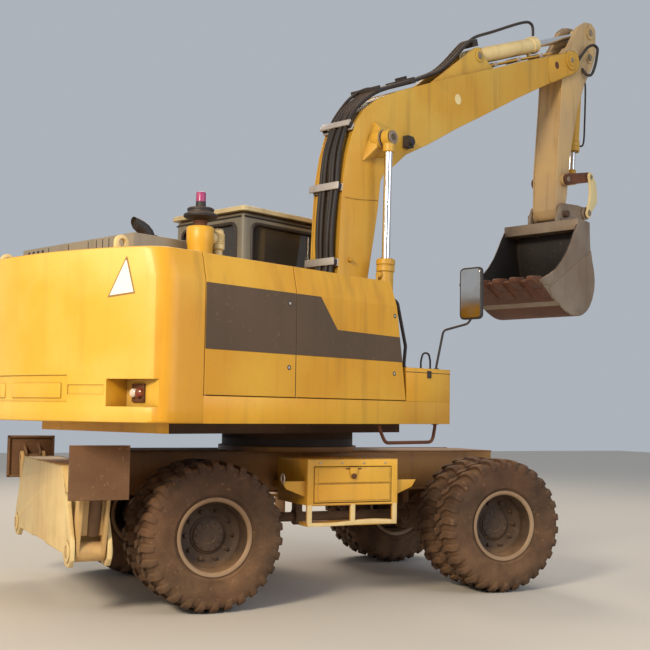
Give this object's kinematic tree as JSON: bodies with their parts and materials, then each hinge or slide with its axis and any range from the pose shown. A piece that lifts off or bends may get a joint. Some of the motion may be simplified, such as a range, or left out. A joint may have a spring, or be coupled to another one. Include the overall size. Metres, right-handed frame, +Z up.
{
  "type": "wheeled excavator",
  "caption": "Wheeled excavator with twin tyres, rear stabilisers, a cab on the left, a bent one-piece boom, a stick and a digging bucket, posed with the upper machine turned to the left.",
  "frame": {"origin": "on the ground under the slewing axis", "axes": "+X forward along the undercarriage, +Y to its left, +Z up"},
  "size_m": [7.2136, 3.8724, 6.0399],
  "materials": {
    "yellow_paint": "worn satin paint, dusty",
    "cream_paint": "faded satin paint",
    "dark_paint": "matt dark paint, dusty",
    "cab_paint": "dull grey-brown paint",
    "axle_steel": "dark cast steel, dusty",
    "rod_chrome": "polished",
    "tyre_rubber": "dusty rubber",
    "worn_steel": "worn and rusty",
    "hose_rubber": "matt black hose",
    "pane_glass": "dusty tinted glass",
    "black_plastic": "matt black",
    "seat_fabric": "woven grey",
    "lamp_lens": "red lens"
  },
  "bodies": {
    "chassis": {"chassis_frame": "yellow_paint", "slew_ring": "dark_paint", "rear_axle": "axle_steel", "front_axle": "axle_steel", "toolbox": "yellow_paint", "cab_steps": "yellow_paint", "stabiliser_beam": "cream_paint"},
    "knuckle_left": {"knuckle_left": "axle_steel"},
    "knuckle_right": {"knuckle_right": "axle_steel"},
    "tie_rod": {"tie_rod": "axle_steel"},
    "wheel_rear_left": {"tyres_rear_left": "tyre_rubber", "rims_rear_left": "dark_paint"},
    "wheel_rear_right": {"tyres_rear_right": "tyre_rubber", "rims_rear_right": "dark_paint"},
    "wheel_front_left": {"tyres_front_left": "tyre_rubber", "rims_front_left": "dark_paint"},
    "wheel_front_right": {"tyres_front_right": "tyre_rubber", "rims_front_right": "dark_paint"},
    "toolbox_door": {"toolbox_door": "yellow_paint"},
    "leg_left": {"leg_left": "worn_steel"},
    "leg_right": {"leg_right": "worn_steel"},
    "pad_left": {"pad_left": "worn_steel"},
    "pad_right": {"pad_right": "worn_steel"},
    "superstructure": {"platform": "yellow_paint", "counterweight": "yellow_paint", "engine_house": "yellow_paint", "engine_block": "axle_steel", "cab_shell": "cab_paint", "cab_roof": "cream_paint", "cab_glass": "pane_glass", "seat": "seat_fabric", "handrails": "dark_paint", "rear_mirror": "black_plastic", "lamps": "lamp_lens"},
    "hood": {"hood": "cab_paint", "exhaust": "dark_paint", "air_intake": "black_plastic"},
    "door_rear_right": {"door_rear_right": "yellow_paint"},
    "door_front_right": {"door_front_right": "yellow_paint"},
    "door_left": {"door_left": "yellow_paint"},
    "cab_door": {"cab_door": "cab_paint", "cab_door_glass": "pane_glass"},
    "boom": {"boom": "yellow_paint", "boom_lines": "hose_rubber"},
    "boom_barrels": {"boom_barrels": "yellow_paint"},
    "boom_rods": {"boom_rods": "rod_chrome"},
    "stick_barrel": {"stick_barrel": "cream_paint"},
    "stick_rod": {"stick_rod": "rod_chrome"},
    "stick": {"stick": "cream_paint"},
    "bucket_barrel": {"bucket_barrel": "cream_paint"},
    "bucket_rod": {"bucket_rod": "rod_chrome"},
    "rockers": {"rockers": "yellow_paint"},
    "bucket": {"bucket": "worn_steel"},
    "bucket_link": {"bucket_link": "yellow_paint"}
  },
  "joints": [
    {"name": "slew", "type": "hinge", "parent": "chassis", "child": "superstructure", "pos_m": [0, 0, 1.13], "axis": [0, 0, 1], "continuous": true},
    {"name": "wheel_rear_left_spin", "type": "hinge", "parent": "chassis", "child": "wheel_rear_left", "pos_m": [-1.045, 0.915, 0.5275], "axis": [0, 1, 0], "continuous": true},
    {"name": "wheel_rear_right_spin", "type": "hinge", "parent": "chassis", "child": "wheel_rear_right", "pos_m": [-1.045, -0.915, 0.5275], "axis": [0, 1, 0], "continuous": true},
    {"name": "steer_left", "type": "hinge", "parent": "chassis", "child": "knuckle_left", "pos_m": [1.415, 0.5, 0.5275], "axis": [0, 0, 1], "range_deg": [-27, 33]},
    {"name": "wheel_front_left_spin", "type": "hinge", "parent": "knuckle_left", "child": "wheel_front_left", "pos_m": [1.43672, 0.91443, 0.5275], "axis": [0.0523, 0.9986, 0], "continuous": true},
    {"name": "steer_right", "type": "hinge", "parent": "chassis", "child": "knuckle_right", "pos_m": [1.415, -0.5, 0.5275], "axis": [0, 0, 1], "range_deg": [-27, 33]},
    {"name": "wheel_front_right_spin", "type": "hinge", "parent": "knuckle_right", "child": "wheel_front_right", "pos_m": [1.39328, -0.91443, 0.5275], "axis": [0.0523, 0.9986, 0], "continuous": true},
    {"name": "tie_rod_shift", "type": "slide", "parent": "chassis", "child": "tie_rod", "axis": [0, 1, 0], "range_m": [-0.1231, 0.15045]},
    {"name": "toolbox_door_hinge", "type": "hinge", "parent": "chassis", "child": "toolbox_door", "pos_m": [0, -1.189, 0.761], "axis": [1, 0, 0], "range_deg": [0, 90]},
    {"name": "leg_left_swing", "type": "hinge", "parent": "chassis", "child": "leg_left", "pos_m": [-1.875, 1.02, 0.45], "axis": [-1, 0, 0], "range_deg": [0, 122]},
    {"name": "pad_left_tilt", "type": "hinge", "parent": "leg_left", "child": "pad_left", "pos_m": [-1.875, 1.185, 0.99], "axis": [1, 0, 0], "range_deg": [-3, 40]},
    {"name": "leg_right_swing", "type": "hinge", "parent": "chassis", "child": "leg_right", "pos_m": [-1.875, -1.02, 0.45], "axis": [1, 0, 0], "range_deg": [0, 122]},
    {"name": "pad_right_tilt", "type": "hinge", "parent": "leg_right", "child": "pad_right", "pos_m": [-1.875, -1.185, 0.99], "axis": [-1, 0, 0], "range_deg": [-3, 40]},
    {"name": "hood_hinge", "type": "hinge", "parent": "superstructure", "child": "hood", "pos_m": [-0.65274, -0.26372, 2.438], "axis": [-0.3746, 0.9272, 0], "range_deg": [0, 60]},
    {"name": "door_rear_right_hinge", "type": "hinge", "parent": "superstructure", "child": "door_rear_right", "pos_m": [-1.38581, -1.88758, 1.9], "axis": [0, 0, -1], "range_deg": [0, 88]},
    {"name": "door_front_right_hinge", "type": "hinge", "parent": "superstructure", "child": "door_front_right", "pos_m": [-0.62088, -1.57853, 1.9], "axis": [0, 0, -1], "range_deg": [0, 88]},
    {"name": "door_left_hinge", "type": "hinge", "parent": "superstructure", "child": "door_left", "pos_m": [-2.30809, 0.39515, 1.9], "axis": [0, 0, 1], "range_deg": [0, 88]},
    {"name": "cab_door_hinge", "type": "hinge", "parent": "superstructure", "child": "cab_door", "pos_m": [-0.19842, 1.20653, 2.2], "axis": [0, 0, 1], "range_deg": [0, 95]},
    {"name": "boom_lift", "type": "hinge", "parent": "superstructure", "child": "boom", "pos_m": [0.32133, -0.02117, 1.7], "axis": [0.3746, -0.9272, 0], "range_deg": [-75, 6]},
    {"name": "boom_barrels_turn", "type": "hinge", "parent": "superstructure", "child": "boom_barrels", "pos_m": [0.67366, 0.12118, 1.38], "axis": [-0.3746, 0.9272, 0], "range_deg": [-6.25, 72.4]},
    {"name": "boom_rods_slide", "type": "slide", "parent": "boom_barrels", "child": "boom_rods", "axis": [0.0227, 0.0092, 0.9997], "range_m": [-0.61461, 0.05837]},
    {"name": "stick_swing", "type": "hinge", "parent": "boom", "child": "stick", "pos_m": [3.9188, 1.4323, 5.45], "axis": [-0.3746, 0.9272, 0], "range_deg": [-100, 6]},
    {"name": "stick_barrel_turn", "type": "hinge", "parent": "boom", "child": "stick_barrel", "pos_m": [2.29623, 0.77674, 5.06], "axis": [-0.3746, 0.9272, 0], "range_deg": [-17.61, 1.53]},
    {"name": "stick_rod_slide", "type": "slide", "parent": "stick_barrel", "child": "stick_rod", "axis": [0.8664, 0.35, 0.3562], "range_m": [-0.87507, 0.0619]},
    {"name": "bucket_curl", "type": "hinge", "parent": "stick", "child": "bucket", "pos_m": [3.74727, 1.363, 3.65], "axis": [-0.3746, 0.9272, 0], "range_deg": [-30, 70]},
    {"name": "rockers_turn", "type": "hinge", "parent": "stick", "child": "rockers", "pos_m": [3.79363, 1.38173, 4.05], "axis": [-0.3746, 0.9272, 0], "range_deg": [-30.33, 70.09]},
    {"name": "bucket_link_turn", "type": "hinge", "parent": "bucket", "child": "bucket_link", "pos_m": [4.17841, 1.53719, 3.725], "axis": [-0.3746, 0.9272, 0], "range_deg": [-65.98, 28.56]},
    {"name": "bucket_barrel_turn", "type": "hinge", "parent": "stick", "child": "bucket_barrel", "pos_m": [4.35458, 1.60837, 5.61], "axis": [-0.3746, 0.9272, 0], "range_deg": [-0.98, 1.62]},
    {"name": "bucket_rod_slide", "type": "slide", "parent": "bucket_barrel", "child": "bucket_rod", "axis": [-0.0916, -0.037, -0.9951], "range_m": [-0.24086, 0.54866]}
  ],
  "couplings": [
    {"joint": "steer_right", "follows": "steer_left", "ratio": 1},
    {"joint": "tie_rod_shift", "follows": "steer_left", "m_per_rad": 0.2561},
    {"joint": "boom_barrels_turn", "follows": "boom_lift", "ratio": -0.95865},
    {"joint": "boom_rods_slide", "follows": "boom_lift", "m_per_rad": 0.46189},
    {"joint": "stick_barrel_turn", "follows": "stick_swing", "ratio": 0.17114},
    {"joint": "stick_rod_slide", "follows": "stick_swing", "m_per_rad": 0.49565},
    {"joint": "rockers_turn", "follows": "bucket_curl", "ratio": 0.99417},
    {"joint": "bucket_link_turn", "follows": "bucket_curl", "ratio": -0.93542},
    {"joint": "bucket_barrel_turn", "follows": "bucket_curl", "ratio": 0.01595},
    {"joint": "bucket_rod_slide", "follows": "bucket_curl", "m_per_rad": 0.4409}
  ]
}
